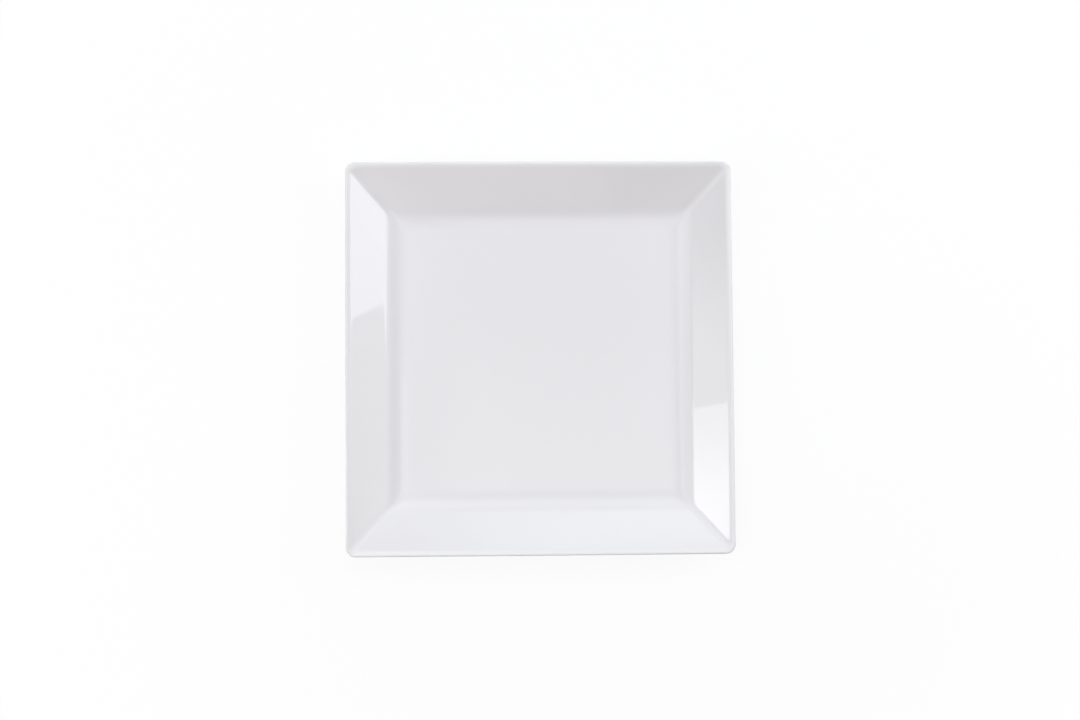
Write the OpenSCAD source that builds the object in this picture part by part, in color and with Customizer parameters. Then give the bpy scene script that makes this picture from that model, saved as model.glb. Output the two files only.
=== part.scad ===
// Square dinner plate: a fired porcelain body and two coats of glaze, which the bare foot keeps apart.
// All three follow one half-section, a chain of arcs that starts at the edge of the well's flat floor,
// climbs the wall, turns over the lip, and comes back underneath and over the foot to the recess.

/* [Plate] */
// Width across the lip, from side to side
plate_w = 267; // [245:1:300]
// Plan radius of the four corners, at the outside of the lip
corner_r = 7; // [5:0.5:14]

/* [Well] */
// Width of the flat floor of the well
well_w = 180; // [165:1:200]
// Plan radius of the flat floor's four corners
well_corner_r = 4; // [2:0.5:16]
// Radius of the cove that joins the floor to the walls
cove_r = 34; // [16:0.5:40]
// Thickness of the floor, glaze included
floor_t = 5; // [4:0.1:7]

/* [Walls] */
// Slope of the walls, in degrees above the horizontal
wall_angle = 30; // [22:1:38]
// Thickness of the walls, glaze included
wall_t = 4.5; // [4:0.1:6]
// Plan radius of the mitres, where two walls meet inside
mitre_r = 4; // [1:0.25:6]

/* [Lip] */
// Radius of the soft shoulder between the wall and the top of the lip
shoulder_r = 13; // [8:0.5:16]
// Slope that is left at the top of the lip, in degrees above the horizontal
lip_slope = 14; // [8:1:20]
// Radius of the lip's upper edge
edge_r = 1; // [0.6:0.1:1.4]
// Radius of the lip's lower edge
under_r = 2; // [1:0.25:2]

/* [Underside] */
// Radius of the heel, where the underside turns up into the walls
heel_r = 12; // [6:0.5:18]
// Plan radius of the heel's four corners
heel_corner_r = 10; // [6:0.5:16]
// Height of the foot, from the table to the underside of the floor
foot_h = 3; // [2.6:0.1:5]
// How far the foot's standing face is set in from the edge of the flat floor
foot_inset = 4; // [2:0.5:30]
// Width of the bare face that the plate stands on
foot_band = 4; // [2:0.5:8]
// Plan radius of the foot's four corners, at the outside of the standing face
foot_corner_r = 12; // [9:0.5:20]
// Radius of the foot's two wiped edges, which are left bare
foot_edge_r = 1.4; // [1:0.1:1.6]
// Radius of the fillets between the foot and the underside
foot_root_r = 1.6; // [0.8:0.1:1.8]
// Taper of the foot's two sides, in degrees from the vertical
foot_taper = 12; // [4:1:20]

/* [Glaze] */
// Thickness of both coats of glaze
glaze_t = 0.3; // [0.15:0.05:0.5]

/* [Hidden] */
// Steps round each corner, and the most that a chord may miss an arc by
corner_steps = 6;
chord_miss = 0.03;

// Lip: the shoulder's circle leaves the wall at start_x and meets the upper edge's circle at the lip's slope
edge_x = plate_w / 2 - edge_r;
under_x = plate_w / 2 - under_r;
shoulder_x = edge_x + (shoulder_r - edge_r) * sin(lip_slope);
start_x = shoulder_x - shoulder_r * sin(wall_angle);
cove_x = well_w / 2 + cove_r * sin(wall_angle);

// Heights above the table
well_z = foot_h + floor_t;
cove_z = well_z + cove_r * (1 - cos(wall_angle));
shoulder_z = cove_z + (start_x - cove_x) * tan(wall_angle) - shoulder_r * cos(wall_angle);
edge_z = shoulder_z + (shoulder_r - edge_r) * cos(lip_slope);
under_z = cove_z + ((under_x - cove_x) * sin(wall_angle) - wall_t + under_r) / cos(wall_angle);

// Heel: its circle touches the underside of the floor and the underside of the wall
under_line = under_x * sin(wall_angle) - under_z * cos(wall_angle) + under_r;
heel_x = (under_line + (foot_h + heel_r) * cos(wall_angle) - heel_r) / sin(wall_angle);

// Foot: its edges are drawn as if glazed, so that the bare face under the glaze lies on the table
foot_x = well_w / 2 - foot_inset;
toe_z = foot_edge_r - glaze_t;
root_z = foot_h - foot_root_r;
root_out = (foot_edge_r + foot_root_r + (root_z - toe_z) * sin(foot_taper)) / cos(foot_taper);

// Distance from the plate's middle to the centres of the corner arcs, at each place
well_c = well_w / 2 - well_corner_r;
cove_c = cove_x - mitre_r;
shoulder_c = start_x - mitre_r;
lip_c = plate_w / 2 - corner_r;
heel_c = heel_x - heel_corner_r;
foot_c = foot_x - foot_corner_r;

// Arcs of the glazed half-section: centre x, centre z, radius (below zero where hollow), the surface's
// facing from and to in degrees, and the corner centres from and to
cove = [well_w / 2, well_z + cove_r, -cove_r, 90, 90 + wall_angle, well_c, cove_c];
shoulder = [shoulder_x, shoulder_z, shoulder_r, 90 + wall_angle, 90 + lip_slope, shoulder_c, lip_c];
edge_over = [edge_x, edge_z, edge_r, 90 + lip_slope, 0, lip_c, lip_c];
edge_under = [under_x, under_z, under_r, 0, wall_angle - 90, lip_c, lip_c];
heel = [heel_x, foot_h + heel_r, heel_r, wall_angle - 90, -90, heel_c + heel_r * sin(wall_angle), heel_c];
root_outside = [foot_x + root_out, root_z, -foot_root_r, -90, -foot_taper, foot_c, foot_c];
toe_outside = [foot_x, toe_z, foot_edge_r, -foot_taper, -90, foot_c, foot_c];
toe_inside = [foot_x - foot_band, toe_z, foot_edge_r, -90, foot_taper - 180, foot_c, foot_c];
root_inside = [foot_x - foot_band - root_out, root_z, -foot_root_r, foot_taper - 180, -90, foot_c, foot_c];

// Each list of arcs belongs to one stretch of the surface
outer_arcs = [cove, shoulder, edge_over, edge_under, heel, root_outside];
bare_arcs = [toe_outside, toe_inside];
recess_arcs = [root_inside];

function arc_steps(arc) = ceil(abs(arc[4] - arc[3]) / (2 * acos(1 - chord_miss / abs(arc[2]))));

// One point of the half-section, raised off the glazed surface by some amount: x, z, corner centre
function section_point(arc, part, raised) =
    let (facing = arc[3] + (arc[4] - arc[3]) * part)
    let (reach = arc[2] + raised)
    [arc[0] + reach * cos(facing), arc[1] + reach * sin(facing), arc[5] + (arc[6] - arc[5]) * part];

function arc_points(arc, raised) =
    let (steps = arc_steps(arc))
    [for (i = [0 : steps]) section_point(arc, i / steps, raised)];

// All the points of a list of arcs, with a point that two arcs share kept once
function section(arcs, raised) =
    let (points = [for (arc = arcs) each arc_points(arc, raised)])
    [for (i = [0 : len(points) - 1]) if (i == 0 || norm(points[i] - points[i - 1]) > 0.001) points[i]];

function reversed(list) = [for (i = [len(list) - 1 : -1 : 0]) list[i]];

// A level ring through one point of the half-section: a square with round corners
function ring(point) =
    let (radius = point[0] - point[2])
    [for (corner = [0 : 3], i = [0 : corner_steps])
        let (turn = 90 * corner + 90 * i / corner_steps)
        let (side = 90 * corner + 45)
        [
            sqrt(2) * point[2] * cos(side) + radius * cos(turn),
            sqrt(2) * point[2] * sin(side) + radius * sin(turn),
            point[1]
        ]];

// A closed skin over a row of rings, from a first one that faces up to a last one that faces down
module skin(row) {
    rings = [for (point = row) ring(point)];
    n = len(rings[0]);
    last = len(rings) - 1;
    sides = [for (i = [0 : last - 1], j = [0 : n - 1])
        let (a = i * n + j)
        let (b = i * n + (j + 1) % n)
        each [[a, b, b + n], [a, b + n, a + n]]];
    top = [for (j = [n - 1 : -1 : 0]) j];
    bottom = [for (j = [0 : n - 1]) last * n + j];
    polyhedron(points = [for (r = rings) each r], faces = concat([top], sides, [bottom]));
}

// The fired body, glazed all over but for the foot's standing face and its two edges
module porcelain_body() {
    color([0.90, 0.89, 0.87])
        skin(section(concat(outer_arcs, bare_arcs, recess_arcs), -glaze_t));
}

// The coat over the well, walls, lip and outside, which stops at the foot's outer wiped edge
module outer_glaze() {
    stop = [section_point(toe_outside, 0, 0)];
    back = [section_point(toe_outside, 0, -glaze_t)];
    color([0.95, 0.95, 0.96])
        skin(concat(section(outer_arcs, 0), stop, back, reversed(section(outer_arcs, -glaze_t))));
}

// The coat inside the foot ring, which stops at the foot's inner wiped edge
module recess_glaze() {
    stop = [section_point(toe_inside, 1, 0)];
    back = [section_point(toe_inside, 1, -glaze_t)];
    color([0.93, 0.94, 0.95])
        skin(concat(reversed(section(recess_arcs, -glaze_t)), back, stop, section(recess_arcs, 0)));
}

porcelain_body();
outer_glaze();
recess_glaze();
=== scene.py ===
import bmesh
import bpy
import math
from mathutils import Matrix, Vector, noise


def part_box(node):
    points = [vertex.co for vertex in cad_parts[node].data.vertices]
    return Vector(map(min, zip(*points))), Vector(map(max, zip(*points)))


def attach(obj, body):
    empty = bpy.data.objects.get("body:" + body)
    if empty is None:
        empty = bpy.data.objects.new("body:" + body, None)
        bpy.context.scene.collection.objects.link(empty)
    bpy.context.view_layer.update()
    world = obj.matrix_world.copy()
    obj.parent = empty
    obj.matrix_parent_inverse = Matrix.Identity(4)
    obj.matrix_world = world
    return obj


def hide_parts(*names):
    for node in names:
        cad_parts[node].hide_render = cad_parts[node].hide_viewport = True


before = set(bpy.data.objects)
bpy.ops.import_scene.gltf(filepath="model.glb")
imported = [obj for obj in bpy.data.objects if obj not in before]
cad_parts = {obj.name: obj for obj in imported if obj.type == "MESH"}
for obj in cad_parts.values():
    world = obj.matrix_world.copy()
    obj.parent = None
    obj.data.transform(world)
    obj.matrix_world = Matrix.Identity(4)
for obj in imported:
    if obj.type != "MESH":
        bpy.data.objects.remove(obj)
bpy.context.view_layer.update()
scene = bpy.context.scene
scene.view_settings.view_transform = "Standard"
mm = 0.001


def hexToLinear(text, alpha=1.0):
    values = [int(text[i:i + 2], 16) / 255 for i in (1, 3, 5)]
    return [v / 12.92 if v <= 0.04045 else ((v + 0.055) / 1.055) ** 2.4 for v in values] + [alpha]


def addNode(tree, kind, links={}, **settings):
    node = tree.nodes.new(kind)
    for name, value in settings.items():        # a node's own property, or else an input by its label
        if hasattr(node, name):
            setattr(node, name, value)
        else:
            node.inputs[name.replace("_", " ")].default_value = value
    for socket, source in links.items():
        tree.links.new(source, node.inputs[socket])
    return node


def newMaterial(name):
    material = bpy.data.materials.new(name)
    material.use_nodes = True
    material.node_tree.nodes.clear()
    return material, material.node_tree


# camera: straight over the plate, a little to the front and left of its middle
shot = {
    "place": (-0.0177, -0.0406, 0.949),        # metres
    "target": (0.0006, -0.0007, 0.0),
    "rollDeg": 0.44,                           # the plate stands a little askew in the picture
    "lens": 45.14,                             # millimetres on a 36 mm wide sensor
}
cameraData = bpy.data.cameras.new("photoCamera")
cameraData.sensor_fit = "HORIZONTAL"
cameraData.sensor_width = 36.0
cameraData.lens = shot["lens"]
cameraData.clip_start = 0.01
camera = bpy.data.objects.new("photoCamera", cameraData)
scene.collection.objects.link(camera)
backward = (Vector(shot["place"]) - Vector(shot["target"])).normalized()
upward = Vector((math.sin(math.radians(shot["rollDeg"])), math.cos(math.radians(shot["rollDeg"])), 0))
rightward = upward.cross(backward).normalized()
upward = backward.cross(rightward)
turn = Matrix((rightward, upward, backward)).transposed().to_4x4()
camera.matrix_world = Matrix.Translation(shot["place"]) @ turn
scene.camera = camera
print("camera: placed over the plate")


# half-section of the glazed plate, as the solids have it: from the well, over the lip, to the recess
section = {                                    # millimetres and degrees
    "wellW": 180.0, "wellCorner": 4.0, "cove": 34.0, "floor": 5.0,
    "wallAngle": 30.0, "wall": 4.5, "mitre": 4.0, "corner": 7.0,
    "shoulder": 13.0, "lipSlope": 14.0, "edge": 1.0, "underEdge": 2.0,
    "heel": 12.0, "heelCorner": 10.0,
    "footHeight": 3.0, "footInset": 4.0, "footBand": 4.0, "footCorner": 12.0,
    "footEdge": 1.4, "footRoot": 1.6, "footTaper": 12.0,
    "glaze": 0.3,
}
steps = {                                      # how finely each stretch is drawn
    "cove": 30, "wallFace": 16, "shoulder": 20, "edgeOver": 14, "edgeFace": 4, "edgeUnder": 10,
    "wallBack": 14, "heel": 14, "underside": 4,
    "rootOutside": 8, "footOutside": 3, "toeOutside": 8, "footBand": 4,
    "toeInside": 8, "footInside": 3, "rootInside": 8,
    "side": 44, "corner": 18,                  # round each ring: along a side, and round a corner
    "floor": (0.03, 0.12, 0.25, 0.40, 0.55, 0.70, 0.82, 0.90, 0.95, 0.98),     # a flat floor's rings, as shares
    "sharpDeg": 50.0,                          # edges sharper than this aren't smoothed
}


def halfSection(s, n, plateW):
    angle, taper = math.radians(s["wallAngle"]), math.radians(s["footTaper"])
    quarter = math.pi / 2
    slope, rounding = math.radians(s["lipSlope"]), s["shoulder"] - s["edge"]
    edgeX, underX = plateW / 2 - s["edge"], plateW / 2 - s["underEdge"]
    shoulderX = edgeX + rounding * math.sin(slope)
    startX = shoulderX - s["shoulder"] * math.sin(angle)
    coveX = s["wellW"] / 2 + s["cove"] * math.sin(angle)
    wellZ = s["footHeight"] + s["floor"]
    coveZ = wellZ + s["cove"] * (1 - math.cos(angle))
    shoulderZ = coveZ + (startX - coveX) * math.tan(angle) - s["shoulder"] * math.cos(angle)
    edgeZ = shoulderZ + rounding * math.cos(slope)
    underZ = coveZ + ((underX - coveX) * math.sin(angle) - s["wall"] + s["underEdge"]) / math.cos(angle)
    backLine = underX * math.sin(angle) - underZ * math.cos(angle) + s["underEdge"]
    heelX = (backLine + (s["footHeight"] + s["heel"]) * math.cos(angle) - s["heel"]) / math.sin(angle)
    footX = s["wellW"] / 2 - s["footInset"]
    toeZ = s["footEdge"] - s["glaze"]          # drawn as if glazed, so that the bare face is on the floor
    rootZ = s["footHeight"] - s["footRoot"]
    rootOut = (s["footEdge"] + s["footRoot"] + (rootZ - toeZ) * math.sin(taper)) / math.cos(taper)
    lipC, footC, heelC = plateW / 2 - s["corner"], footX - s["footCorner"], heelX - s["heelCorner"]
    inX = footX - s["footBand"]
    # name, centre x and z, radius (below zero where hollow), facing from and to, corner centres from and to
    arcs = [
        ("cove", s["wellW"] / 2, wellZ + s["cove"], -s["cove"], quarter, quarter + angle,
         s["wellW"] / 2 - s["wellCorner"], coveX - s["mitre"]),
        ("wallFace",),
        ("shoulder", shoulderX, shoulderZ, s["shoulder"], quarter + angle, quarter + slope,
         startX - s["mitre"], lipC),
        ("edgeOver", edgeX, edgeZ, s["edge"], quarter + slope, 0, lipC, lipC),
        ("edgeFace",),
        ("edgeUnder", underX, underZ, s["underEdge"], 0, angle - quarter, lipC, lipC),
        ("wallBack",),
        ("heel", heelX, s["footHeight"] + s["heel"], s["heel"], angle - quarter, -quarter,
         heelC + s["heel"] * math.sin(angle), heelC),
        ("underside",),
        ("rootOutside", footX + rootOut, rootZ, -s["footRoot"], -quarter, -taper, footC, footC),
        ("footOutside",),
        ("toeOutside", footX, toeZ, s["footEdge"], -taper, -quarter, footC, footC),
        ("footBand",),
        ("toeInside", inX, toeZ, s["footEdge"], -quarter, taper - math.pi, footC, footC),
        ("footInside",),
        ("rootInside", inX - rootOut, rootZ, -s["footRoot"], taper - math.pi, -quarter, footC, footC),
    ]
    points = []                                # name, share of the stretch, x, z, facing, corner centre
    for i, arc in enumerate(arcs):
        count = n[arc[0]]
        if len(arc) == 1:                      # a straight stretch between its two neighbours
            before, after = points[-1], sectionPoint(arcs[i + 1], 0)
            for k in range(1, count):
                t = k / count
                points.append((arc[0], t) + tuple(a + (b - a) * t for a, b in zip(before[2:], after[2:])))
        else:
            shared = arc[0] == "edgeOver"      # it starts where the shoulder ends
            points += [sectionPoint(arc, k / count) for k in range(1 if shared else 0, count + 1)]
    return points, edgeZ + s["edge"]


def sectionPoint(arc, t):
    name, x, z, radius, facingFrom, facingTo, centreFrom, centreTo = arc
    facing = facingFrom + (facingTo - facingFrom) * t
    centre = centreFrom + (centreTo - centreFrom) * t
    return (name, t, x + radius * math.cos(facing), z + radius * math.sin(facing), facing, centre)


lowest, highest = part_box("outer_glaze")
plateW = (highest[0] - lowest[0]) / mm
profile, lipZ = halfSection(section, steps, plateW)
solidZ = highest[2] / mm
print("section:", len(profile), "points, lip at", round(lipZ, 2), "mm, solids at", round(solidZ, 2), "mm")

# firing: the rim of a pressed square plate never comes out of the kiln quite true
firing = {
    "rimFrom": 97.0, "rimTo": 131.0,           # millimetres from the middle: still true, and free to move
    "crown": 0.6,                              # millimetres that the lip rises halfway along a side
    "spread": 0.95,                            # millimetres that two sides lean out and the other two in
    "draw": 0.85,                              # millimetres that the well is drawn in at the first two
    "easing": 9.0,                             # millimetres over which the lean sets in
    "waveLength": 46.0, "wave": 0.055,         # millimetres, the long soft wave that bends reflections
    "wavePlace": 40.0,                         # millimetres into the noise, which picks one wave out of many
}


def fired(x, y, z):
    reach, along = max(abs(x), abs(y)), min(abs(x), abs(y))
    crown = firing["crown"] * math.cos(math.pi / 2 * along / max(reach, 1)) ** 2
    wave = firing["wave"] * noise.noise(Vector((x, y, firing["wavePlace"])) / firing["waveLength"])
    free, easing = max(reach - firing["rimFrom"], 0), firing["easing"]
    lean = min(free, easing) ** 2 / (2 * easing) + max(free - easing, 0)
    lean /= firing["rimTo"] - firing["rimFrom"] - easing / 2
    drawn = firing["draw"] * min(reach / firing["rimFrom"], 1)
    spread = ((firing["draw"] + firing["spread"]) * lean - drawn) / firing["rimTo"]
    return Vector((x * (1 - spread), y * (1 + spread), z + lean * (wave + crown))) * mm


def ringOf(x, z, centre):
    radius, corners = x - centre, []
    for k in range(steps["side"]):
        corners.append((x, -centre + 2 * centre * k / steps["side"]))
    for k in range(steps["corner"]):
        bend = math.pi / 2 * k / steps["corner"]
        corners.append((centre + radius * math.cos(bend), centre + radius * math.sin(bend)))
    ring = []
    for quarterTurns in range(4):
        for u, v in corners:
            for _ in range(quarterTurns):
                u, v = -v, u
            ring.append((u, v, z))
    return ring


def raisedPoint(point, raised):
    return (point[2] + raised * math.cos(point[4]), point[3] + raised * math.sin(point[4]), point[5])


def floorRings(point, raised):                 # rings that fill a flat floor, from its middle to its edge
    x, z, centre = raisedPoint(point, raised)
    return [(x * share, z, centre * share) for share in steps["floor"]]


# where the glaze runs thick and where it draws thinner, as shares of the darker tone (glaze pooling, and
# painted shade in the hollows) and the lighter tone (thinner glaze, and a painted highlight on the lip edge)
glazeRun = {
    "mitreBand": 9.0,                          # millimetres across which a mitre's darker tone, partly painted shade, fades out
    "cove": 0.8, "mitre": 0.8, "root": 0.9, "footSide": 0.4,                   # darker: glaze pooling, and painted shade in these hollows and under the plate
    "shoulder": 0.4, "edge": 1.0, "footSideLighter": 0.3,                         # lighter: thinner glaze, and a painted highlight on the lip edge
}


def buildSkin(name, row, marks):
    mesh = bpy.data.meshes.new(name)
    shell = bmesh.new()
    layers = {key: shell.verts.layers.float.new(key) for key in ("poolAndShade", "highlightAndRub")}
    rings = []
    for (x, z, centre), mark in zip(row, marks):
        verts = []
        for u, v, w in ringOf(x, z, centre):
            vert = shell.verts.new(fired(u, v, w))
            off = abs(abs(u) - abs(v))         # how far from the mitre, across it
            # darker along the mitre creases: glaze pooling there, and painted shade
            mitre = max(0, 1 - off / glazeRun["mitreBand"]) ** 2 * mark.get("mitre", 0)
            vert[layers["poolAndShade"]] = max(mark.get("poolAndShade", 0), mitre)
            vert[layers["highlightAndRub"]] = mark.get("highlightAndRub", 0)
            verts.append(vert)
        rings.append(verts)
    count = len(rings[0])
    for near, far in zip(rings, rings[1:]):
        for k in range(count):
            shell.faces.new((near[k], far[k], far[(k + 1) % count], near[(k + 1) % count]))
    shell.faces.new(rings[0])
    shell.faces.new(list(reversed(rings[-1])))
    bmesh.ops.recalc_face_normals(shell, faces=shell.faces)
    for face in shell.faces:
        face.smooth = True
    shell.to_mesh(mesh)
    shell.free()
    mesh.set_sharp_from_angle(angle=math.radians(steps["sharpDeg"]))
    piece = bpy.data.objects.new(name, mesh)
    scene.collection.objects.link(piece)
    return piece


def markOf(point):                             # the glaze's tone at a point of the section, with its painted shade and painted highlight
    name, t, run = point[0], point[1], glazeRun
    # the cove is darker across its middle: glaze pooling in the hollow, and painted shade
    if name == "cove":
        return {"poolAndShade": math.sin(math.pi * t) * run["cove"], "mitre": run["mitre"] * t}
    if name == "wallFace":
        return {"mitre": run["mitre"]}
    if name == "shoulder":
        # lighter towards the lip edge: thinner glaze, and a painted highlight
        return {"highlightAndRub": run["shoulder"] * t, "mitre": run["mitre"] * (1 - t)}
    if name == "edgeOver":
        return {"highlightAndRub": run["shoulder"] + (run["edge"] - run["shoulder"]) * t}
    if name == "edgeFace":
        return {"highlightAndRub": run["edge"]}
    if name == "edgeUnder":
        return {"highlightAndRub": run["edge"] * (1 - t)}
    # the foot root, under the plate, is darker: glaze pooling, and painted shade
    if name in ("rootOutside", "rootInside"):
        return {"poolAndShade": run["root"]}
    if name in ("footOutside", "footInside"):
        return {"poolAndShade": run["footSide"], "highlightAndRub": run["footSideLighter"]}
    return {}


skin = section["glaze"]
names = [point[0] for point in profile]
bareFrom, bareTo = names.index("toeOutside"), names.index("footInside") - 1      # the wiped foot
outer, recess = profile[:bareFrom + 1], profile[bareTo:]

# the coat over well, walls, lip and outside
faceRow = floorRings(outer[0], 0) + [raisedPoint(p, 0) for p in outer]
backRow = floorRings(outer[0], -skin) + [raisedPoint(p, -skin) for p in outer]
faceMarks = [{} for _ in floorRings(outer[0], 0)] + [markOf(p) for p in outer]
outerGlaze = buildSkin("outerGlaze", faceRow + backRow[::-1], faceMarks + faceMarks[::-1])

# the coat inside the foot ring
faceRow = [raisedPoint(p, 0) for p in recess] + floorRings(recess[-1], 0)[::-1]
backRow = [raisedPoint(p, -skin) for p in recess] + floorRings(recess[-1], -skin)[::-1]
faceMarks = [markOf(p) for p in recess] + [{} for _ in floorRings(recess[-1], 0)]
recessGlaze = buildSkin("recessGlaze", backRow[::-1] + faceRow, faceMarks[::-1] + faceMarks)

# the fired body under both, bare on the foot
bodyRow = floorRings(profile[0], -skin) + [raisedPoint(p, -skin) for p in profile]
bodyRow += floorRings(profile[-1], -skin)[::-1]
# on the bare body the same mark is the foot band, where it rubs on shelves
bodyMarks = [{"highlightAndRub": 1.0 if p[0] == "footBand" else 0.0} for p in profile]
flatMarks = [{} for _ in floorRings(profile[0], 0)]
porcelainBody = buildSkin("porcelainBody", bodyRow, flatMarks + bodyMarks + flatMarks)

for piece, node, slotName in (
    (outerGlaze, "outer_glaze", "white_glaze"),
    (recessGlaze, "recess_glaze", "recess_glaze"),
    (porcelainBody, "porcelain_body", "bare_porcelain"),
):
    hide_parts(node)
    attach(piece, "root")
    print("piece:", piece.name, len(piece.data.vertices), "vertices for", node)


# white porcelain under a clear gloss-fired glaze: an even cool white with mirror-sharp reflections that
# ripple a little, because the glaze ran before it set
glaze = {
    # the second tone is darker: glaze pooling, and painted shade in coves, mitre creases and at the foot root;
    # the third is lighter: thinner glaze, and a painted highlight on the lip edge
    "white": "#E8E5E8", "poolAndShade": "#E4E1E5", "highlightAndRub": "#F3F0F3",
    "mottle": 38.0, "mottleDepth": 0.05,       # millimetres across, share of the darker tone it brings in at random
    "ior": 1.52, "roughness": 0.02, "hazy": 0.035,
    "haze": 24.0,                              # millimetres across the faintly duller patches
    "hazeFrom": 0.45, "hazeTo": 0.75,          # levels of the pattern where dulling sets in and is full
    "peel": 3.2, "peelDepth": 0.0016,          # millimetres: orange peel, drawn about twice as wide as it is
    "pinholeSpacing": 17.0, "pinhole": 0.35,   # millimetres apart and across, drawn a little large to show
    "pinholeDepth": 0.03,                      # millimetres
}


def glazeMaterial(name, g):
    material, tree = newMaterial(name)
    place = addNode(tree, "ShaderNodeTexCoord").outputs["Object"]
    # the darker tone's share: glaze pooling, and painted shade in the hollows
    poolAndShade = addNode(tree, "ShaderNodeAttribute", attribute_name="poolAndShade").outputs["Fac"]
    # the lighter tone's share: a painted highlight on the lip edge, and thinner glaze
    highlightAndRub = addNode(tree, "ShaderNodeAttribute", attribute_name="highlightAndRub").outputs["Fac"]
    mottle = addNode(tree, "ShaderNodeTexNoise", {"Vector": place}, Scale=1 / (g["mottle"] * mm), Detail=3.0)
    mottleShare = addNode(tree, "ShaderNodeMath", {0: mottle.outputs["Fac"]}, operation="MULTIPLY")
    mottleShare.inputs[1].default_value = 2 * g["mottleDepth"]
    share = addNode(tree, "ShaderNodeMath", {0: poolAndShade, 1: mottleShare.outputs[0]},
                    operation="ADD", use_clamp=True)
    colour = addNode(tree, "ShaderNodeMix", {"Factor": share.outputs[0]}, data_type="RGBA")
    colour.inputs[6].default_value = hexToLinear(g["white"])
    colour.inputs[7].default_value = hexToLinear(g["poolAndShade"])
    # the lip edge mixed towards the lighter tone, a painted highlight
    edged = addNode(tree, "ShaderNodeMix", {"Factor": highlightAndRub, 6: colour.outputs[2]}, data_type="RGBA")
    edged.inputs[7].default_value = hexToLinear(g["highlightAndRub"])
    haze = addNode(tree, "ShaderNodeTexNoise", {"Vector": place}, Scale=1 / (g["haze"] * mm), Detail=4.0)
    rough = addNode(tree, "ShaderNodeMapRange", {"Value": haze.outputs["Fac"]}, From_Min=g["hazeFrom"],
                    From_Max=g["hazeTo"], To_Min=g["roughness"], To_Max=g["hazy"])
    peel = addNode(tree, "ShaderNodeTexNoise", {"Vector": place}, Scale=1 / (g["peel"] * mm), Detail=1.0)
    peelBump = addNode(tree, "ShaderNodeBump", {"Height": peel.outputs["Fac"]}, Distance=g["peelDepth"] * mm)
    holes = addNode(tree, "ShaderNodeTexVoronoi", {"Vector": place}, Scale=1 / (g["pinholeSpacing"] * mm))
    pit = addNode(tree, "ShaderNodeMapRange", {"Value": holes.outputs["Distance"]}, From_Min=0.0,
                  From_Max=g["pinhole"] / 2 / g["pinholeSpacing"], To_Min=0.0, To_Max=1.0)
    pitBump = addNode(tree, "ShaderNodeBump", {
        "Height": pit.outputs["Result"], "Normal": peelBump.outputs["Normal"],
    }, Distance=g["pinholeDepth"] * mm)
    shader = addNode(tree, "ShaderNodeBsdfPrincipled", {
        "Base Color": edged.outputs[2], "Roughness": rough.outputs["Result"],
        "Normal": pitBump.outputs["Normal"],
    }, IOR=g["ior"])
    addNode(tree, "ShaderNodeOutputMaterial", {"Surface": shader.outputs["BSDF"]})
    return material


outerGlaze.data.materials.append(glazeMaterial("glazedPorcelain", glaze))

# the same glaze where it is poured inside the foot ring: a little duller and more pitted than the face
recessFinish = dict(glaze, white="#E6E3E6", roughness=0.07, hazy=0.16, pinholeSpacing=12.0)
recessGlaze.data.materials.append(glazeMaterial("glazedPorcelainRecess", recessFinish))
print("material: glaze")

# bare porcelain, fired hard and rubbed down on the foot: dead matt, a little warmer than the glaze, with
# a fine grit and grey rub marks where it has slid on shelves
bare = {
    "body": "#E3DED5", "rubbed": "#BDB9B2",
    "grit": 0.6, "gritDepth": 0.02,            # millimetres, drawn twice as coarse as it is
    "rub": 7.0,                                # millimetres along a rub mark
    "rubFrom": 0.5, "rubTo": 0.72,             # levels of the pattern where a mark sets in and is full
    "rubDepth": 0.7,                           # share of the rubbed tone in a full mark
    "ior": 1.5, "roughness": 0.62, "polished": 0.45,
}
material, tree = newMaterial("barePorcelain")
place = addNode(tree, "ShaderNodeTexCoord").outputs["Object"]
# the rubbed foot band, read from the same attribute that carries the glaze's painted highlight
contact = addNode(tree, "ShaderNodeAttribute", attribute_name="highlightAndRub").outputs["Fac"]
rub = addNode(tree, "ShaderNodeTexNoise", {"Vector": place}, Scale=1 / (bare["rub"] * mm), Detail=6.0,
              Roughness=0.7)
rubShare = addNode(tree, "ShaderNodeMapRange", {"Value": rub.outputs["Fac"]}, From_Min=bare["rubFrom"],
                   From_Max=bare["rubTo"], To_Min=0.0, To_Max=bare["rubDepth"])
worn = addNode(tree, "ShaderNodeMath", {0: rubShare.outputs["Result"], 1: contact}, operation="MULTIPLY")
colour = addNode(tree, "ShaderNodeMix", {"Factor": worn.outputs[0]}, data_type="RGBA")
colour.inputs[6].default_value = hexToLinear(bare["body"])
colour.inputs[7].default_value = hexToLinear(bare["rubbed"])
rough = addNode(tree, "ShaderNodeMapRange", {"Value": worn.outputs[0]}, To_Min=bare["roughness"],
                To_Max=bare["polished"])
grit = addNode(tree, "ShaderNodeTexNoise", {"Vector": place}, Scale=1 / (bare["grit"] * mm), Detail=2.0)
bump = addNode(tree, "ShaderNodeBump", {"Height": grit.outputs["Fac"]}, Distance=bare["gritDepth"] * mm)
shader = addNode(tree, "ShaderNodeBsdfPrincipled", {
    "Base Color": colour.outputs[2], "Roughness": rough.outputs["Result"], "Normal": bump.outputs["Normal"],
}, IOR=bare["ior"])
addNode(tree, "ShaderNodeOutputMaterial", {"Surface": shader.outputs["BSDF"]})
porcelainBody.data.materials.append(material)
print("material: bare porcelain")


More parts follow.
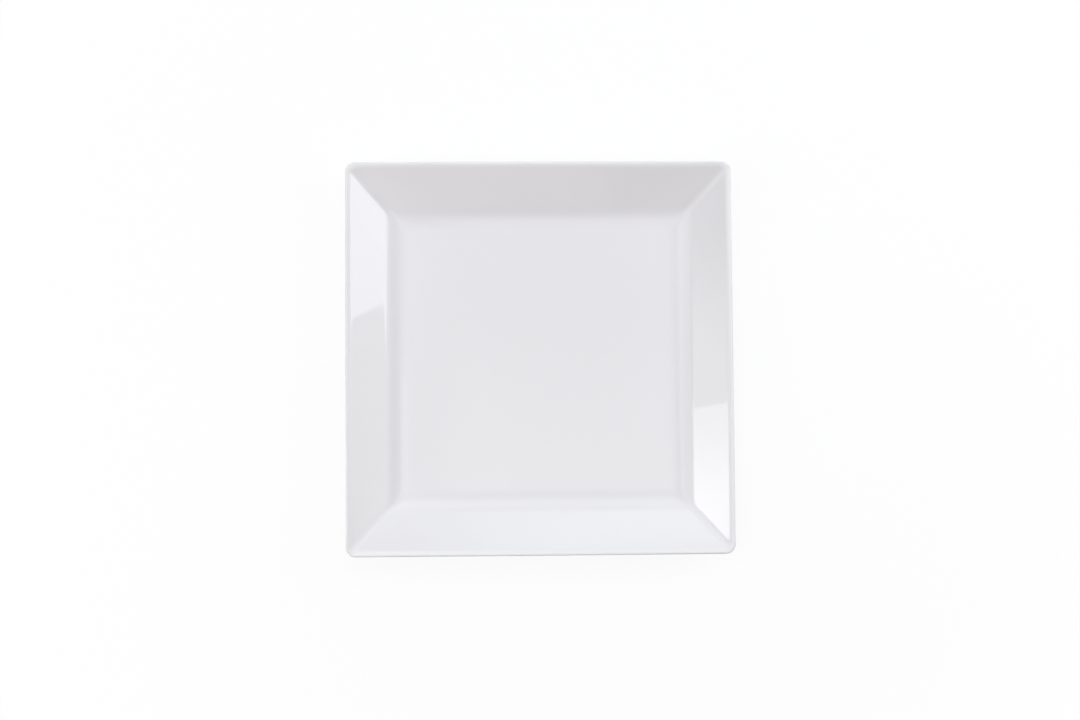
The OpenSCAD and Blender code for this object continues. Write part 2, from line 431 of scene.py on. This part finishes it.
# stage: a white floor that keeps the plate's shadow, and a white surround
stage = {
    "floorSize": 9.0, "drop": 0.05 * mm,       # metres; the floor lies a hair under the foot
    "paper": "#FCFCFC",
    "near": 0.16, "nearLift": 0.90,            # metres; how far the floor is lifted to white beside the plate
    "far": 0.60, "farLift": 1.0,               # metres; and far off, where no shadow falls
    "surround": 0.02,                          # level of the soft light that comes from all round
}
floorMesh = bpy.data.meshes.new("paperFloor")
half = stage["floorSize"] / 2
floorCorners = [(-half, -half, 0), (half, -half, 0), (half, half, 0), (-half, half, 0)]
floorMesh.from_pydata(floorCorners, [], [(0, 1, 2, 3)])
paperFloor = bpy.data.objects.new("paperFloor", floorMesh)
paperFloor.location.z = -stage["drop"]
scene.collection.objects.link(paperFloor)


def shownRays(tree):                           # 1 for rays that show the background, and 0 for the rest
    path = addNode(tree, "ShaderNodeLightPath")
    shown = path.outputs["Is Camera Ray"]
    for other in ("Is Glossy Ray", "Is Transmission Ray"):
        either = addNode(tree, "ShaderNodeMath", {0: shown, 1: path.outputs[other]}, operation="MAXIMUM")
        shown = either.outputs[0]
    return shown


# matt white paper on a table: plain white, with the plate's shadow left in it close by
material, tree = newMaterial("whitePaper")
place = addNode(tree, "ShaderNodeTexCoord").outputs["Object"]
away = addNode(tree, "ShaderNodeVectorMath", {0: place}, operation="LENGTH")
lift = addNode(tree, "ShaderNodeMapRange", {"Value": away.outputs["Value"]},
               interpolation_type="SMOOTHSTEP", From_Min=stage["near"], From_Max=stage["far"],
               To_Min=stage["nearLift"], To_Max=stage["farLift"])
lifted = addNode(tree, "ShaderNodeMath", {0: shownRays(tree), 1: lift.outputs["Result"]},
                 operation="MULTIPLY")
paper = addNode(tree, "ShaderNodeBsdfDiffuse", Color=hexToLinear(stage["paper"]))
white = addNode(tree, "ShaderNodeEmission", Color=(1, 1, 1, 1), Strength=1.0)
mixed = addNode(tree, "ShaderNodeMixShader", {
    0: lifted.outputs[0], 1: paper.outputs[0], 2: white.outputs[0]})
addNode(tree, "ShaderNodeOutputMaterial", {"Surface": mixed.outputs[0]})
floorMesh.materials.append(material)

world = bpy.data.worlds.new("whiteSurround")
scene.world = world
world.use_nodes = True
tree = world.node_tree
tree.nodes.clear()
soft = addNode(tree, "ShaderNodeBackground", Color=(1, 1, 1, 1), Strength=stage["surround"])
white = addNode(tree, "ShaderNodeBackground", Color=(1, 1, 1, 1), Strength=1.0)
mixed = addNode(tree, "ShaderNodeMixShader", {0: shownRays(tree), 1: soft.outputs[0], 2: white.outputs[0]})
addNode(tree, "ShaderNodeOutputWorld", {"Surface": mixed.outputs[0]})
print("stage: floor and surround")

# softboxes: place and size in metres, which way each one faces, and its level, where 1 is the white of the
# surround; fade is the share of its width or height over which it dims towards its own left, right, bottom
# and top edges, edge is the share of the level that is left there, and rollDeg turns it about its facing;
# those that overlap stand at slightly different depths, or one would hide the other in reflections
softboxes = {
    "topBox": {"place": (-0.215, -0.25, 1.75), "faces": (0, 0, -1), "size": (1.27, 1.70), "level": 0.61,
               "tint": "#FBFDFF", "fade": (0.15, 0.11, 0.53, 0.20)},
    "topMidBox": {"place": (0.09, -0.40, 1.77), "faces": (0, 0, -1), "size": (0.66, 1.40), "level": 0.98,
                  "tint": "#FFF9F9", "fade": (0.25, 0.2, 0.64, 0.35)},
    "topFrontBox": {"place": (-0.215, -0.75, 1.79), "faces": (0, 0, -1), "size": (1.27, 1.10), "level": 0.20,
                    "tint": "#FFF6EA", "fade": (0.15, 0.11, 0.5, 0.4)},
    "highBackBox": {"place": (0.0, 0.80, 1.419), "faces": (0, -0.552, -0.834), "size": (2.4, 1.2),
                    "level": 1.82, "tint": "#F6FDFF", "fade": (0.1, 0.1, 0.4, 0.4)},
    "backBox": {"place": (0.52, 1.20, 0.80), "faces": (0, -1, 0), "size": (1.9, 1.1), "level": 1.98,
                "tint": "#EFFAFF", "fade": (0.2, 0.29, 0.2, 0.35)},
    "rightBox": {"place": (0.80, 0.352, 0.697), "faces": (-1, 0, 0), "size": (0.50, 0.345), "level": 2.38,
                 "tint": "#F8FBFF", "rollDeg": 38},
    "rightCard": {"place": (0.82, 0.125, 0.775), "faces": (-1, 0, 0), "size": (0.95, 1.09), "level": 1.89,
                  "tint": "#FFFFFE", "fade": (0.21, 0.2, 0.1, 0.55)},
    "leftBox": {"place": (-0.80, -0.217, 0.6225), "faces": (1, 0, 0), "size": (0.366, 0.405), "level": 4.42,
                "tint": "#FDFFFF", "fade": (0.45, 0, 0, 0), "edge": 0.5, "rollDeg": 8.6},
    "leftCard": {"place": (-0.82, -0.055, 0.55), "faces": (1, 0, 0), "size": (0.73, 0.40), "level": 2.22,
                 "tint": "#FEFFFF", "fade": (0.39, 0.1, 0.1, 0.1)},
    "highLeftBox": {"place": (-0.69, 0.0, 1.287), "faces": (0.5, 0, -0.866), "size": (1.4, 1.19),
                    "level": 1.49, "tint": "#FFFEFD", "fade": (0.3, 0.3, 0.25, 0.28)},
    "frontBox": {"place": (-0.27, -0.80, 0.70), "faces": (0, 1, 0), "size": (0.82, 0.50), "level": 0.62,
                 "tint": "#FFEEDC"},
}


def addSoftbox(name, box):
    lamp = bpy.data.lights.new(name, "AREA")
    lamp.shape = "RECTANGLE"
    lamp.size, lamp.size_y = box["size"]
    lamp.color = hexToLinear(box["tint"])[:3]
    lamp.energy = box["level"] * math.pi * box["size"][0] * box["size"][1]     # watts for that level
    if "fade" in box:
        lamp.use_nodes = True
        tree = lamp.node_tree
        tree.nodes.clear()
        across = addNode(tree, "ShaderNodeNewGeometry").outputs["Parametric"]
        axes = addNode(tree, "ShaderNodeSeparateXYZ", {0: across})
        strength = None
        left, right, bottom, top = box["fade"]
        for axis, start, end in ((0, 0, left), (0, 1, 1 - right), (1, 0, bottom), (1, 1, 1 - top)):
            if start == end:                   # no fade on this side
                continue
            ramp = addNode(tree, "ShaderNodeMapRange", {"Value": axes.outputs[axis]},
                           interpolation_type="SMOOTHSTEP", From_Min=start, From_Max=end,
                           To_Min=box.get("edge", 0.0))
            if strength:
                strength = addNode(tree, "ShaderNodeMath", {0: strength, 1: ramp.outputs["Result"]},
                                   operation="MULTIPLY").outputs[0]
            else:
                strength = ramp.outputs["Result"]
        glow = addNode(tree, "ShaderNodeEmission", {"Strength": strength})
        addNode(tree, "ShaderNodeOutputLight", {"Surface": glow.outputs[0]})
    lampObject = bpy.data.objects.new(name, lamp)
    facing = Vector(box["faces"]).to_track_quat("-Z", "Y").to_matrix().to_4x4()
    roll = Matrix.Rotation(math.radians(box.get("rollDeg", 0)), 4, "Z")
    lampObject.matrix_world = Matrix.Translation(box["place"]) @ facing @ roll
    lampObject.visible_camera = False
    scene.collection.objects.link(lampObject)


for name, box in softboxes.items():
    addSoftbox(name, box)
print("light:", len(softboxes), "softboxes")
